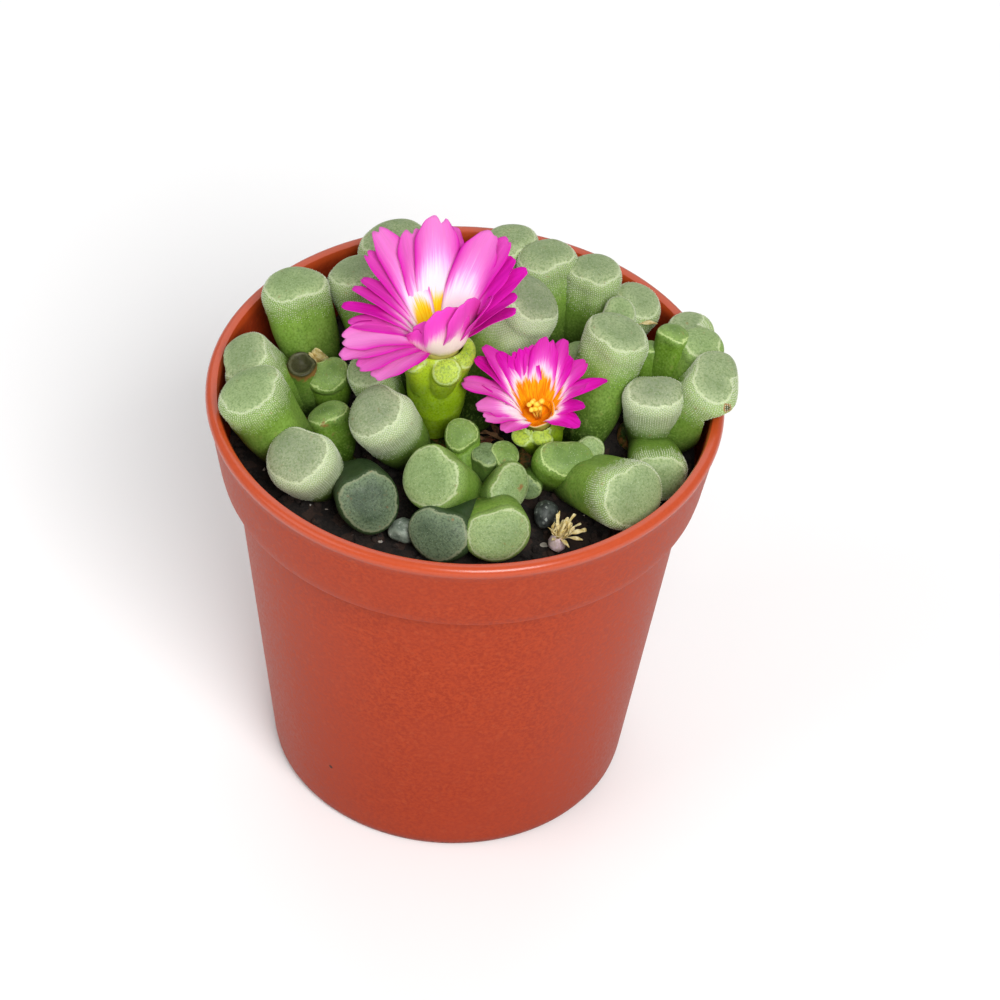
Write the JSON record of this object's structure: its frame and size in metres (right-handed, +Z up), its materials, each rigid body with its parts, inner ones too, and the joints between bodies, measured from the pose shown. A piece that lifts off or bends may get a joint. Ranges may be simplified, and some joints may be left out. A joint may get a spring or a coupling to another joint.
{
  "type": "potted frithia",
  "caption": "Window-leaved frithia clump in flower, standing in a small round plastic nursery pot with a banded rim.",
  "frame": {"origin": "centre of the pot's underside, on the surface it stands on", "axes": "+Z up along the pot's axis, -Y the front that the picture looks at, +X to its right"},
  "size_m": [0.0565, 0.055, 0.0662],
  "materials": {
    "pot_plastic": "satin, fine mottled grain",
    "soil": "rough, crumbly potting soil",
    "leaf_green": "matte, frosted at the tip",
    "calyx_green": "satin, fleshy",
    "petal_magenta": "satin petal",
    "stamen_yellow": "matte",
    "dark_stone": "worn",
    "grey_stone": "worn",
    "dried_flower": "dry"
  },
  "bodies": {
    "root": {"pot": "pot_plastic", "soil": "soil", "rosette_left_back": "leaf_green", "rosette_left_front": "leaf_green", "rosette_big_flower": "leaf_green", "rosette_back": "leaf_green", "rosette_front": "leaf_green", "rosette_small_flower": "leaf_green", "rosette_right_back": "leaf_green", "rosette_right": "leaf_green", "big_flower_calyx": "calyx_green", "big_flower_petals": "petal_magenta", "big_flower_stamens": "stamen_yellow", "small_flower_calyx": "calyx_green", "small_flower_petals": "petal_magenta", "small_flower_stamens": "stamen_yellow", "dark_pebble": "dark_stone", "grey_pebble": "grey_stone", "withered_flower": "dried_flower"}
  },
  "joints": []
}
